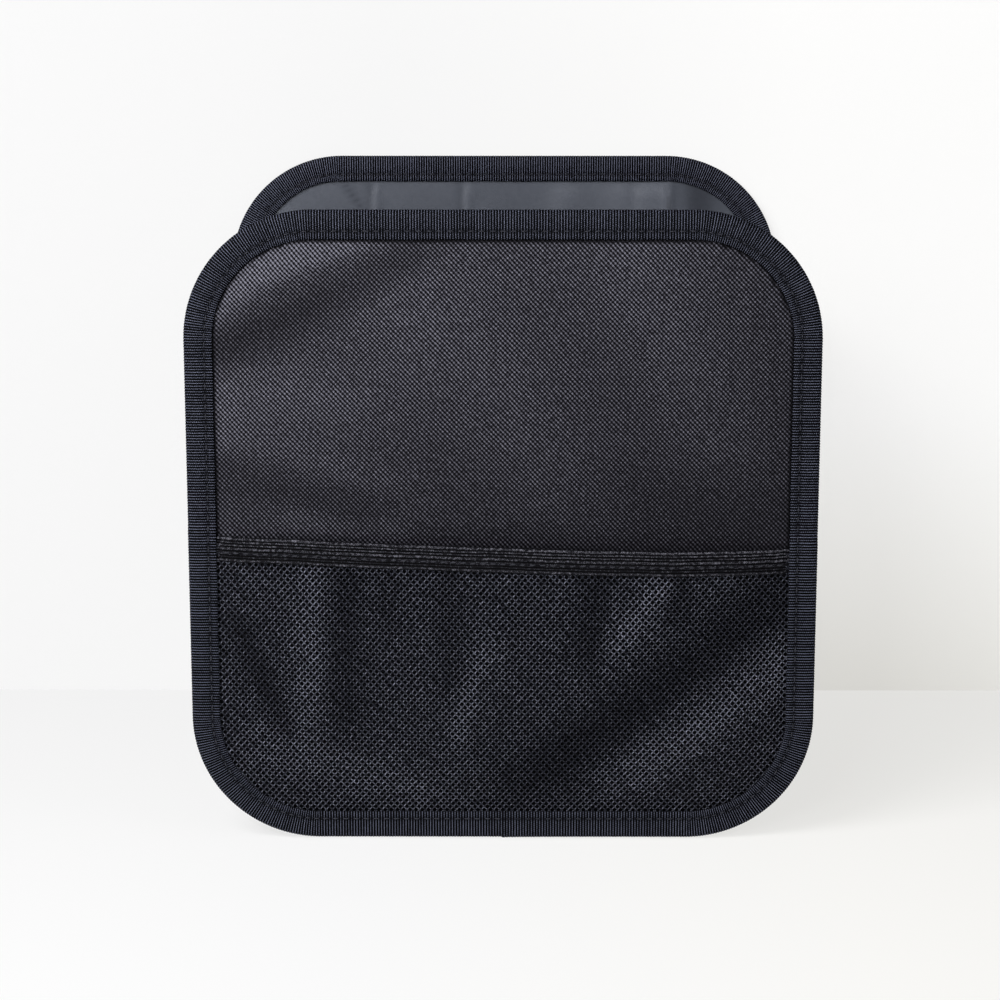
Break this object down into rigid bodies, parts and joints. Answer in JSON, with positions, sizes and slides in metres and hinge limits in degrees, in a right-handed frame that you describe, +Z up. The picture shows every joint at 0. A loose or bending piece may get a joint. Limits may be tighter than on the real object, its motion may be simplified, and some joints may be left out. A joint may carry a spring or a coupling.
{
  "type": "back seat organizer",
  "caption": "Open fabric box with stiff rounded panels, bound edges, side and base gusset, and a mesh front pocket under an elastic band.",
  "frame": {"origin": "on the ground, under the middle of the box around the whole part", "axes": "+Z up, +X to the right as seen from the front, +Y from the front panel with the pocket to the back panel"},
  "size_m": [0.28, 0.2422, 0.286],
  "materials": {
    "oxford": "coated plain weave, slight sheen",
    "lining": "smooth lining cloth, soft sheen",
    "tape": "ribbed ribbon, matte",
    "mesh": "knitted mesh, open holes",
    "elastic": "ribbed elastic, matte",
    "board": "plain sheet"
  },
  "bodies": {
    "root": {"front_outer_fabric": "oxford", "front_stiffener_board": "board", "front_lining": "lining", "front_binding_tape": "tape", "pocket_mesh": "mesh", "pocket_elastic_band": "elastic", "back_outer_fabric": "oxford", "back_stiffener_board": "board", "back_lining": "lining", "back_binding_tape": "tape", "gusset_outer_fabric": "oxford", "gusset_lining": "lining", "left_side_stiffener_board": "board", "right_side_stiffener_board": "board", "base_stiffener_board": "board", "left_side_hem_tape": "tape", "right_side_hem_tape": "tape"}
  },
  "joints": []
}
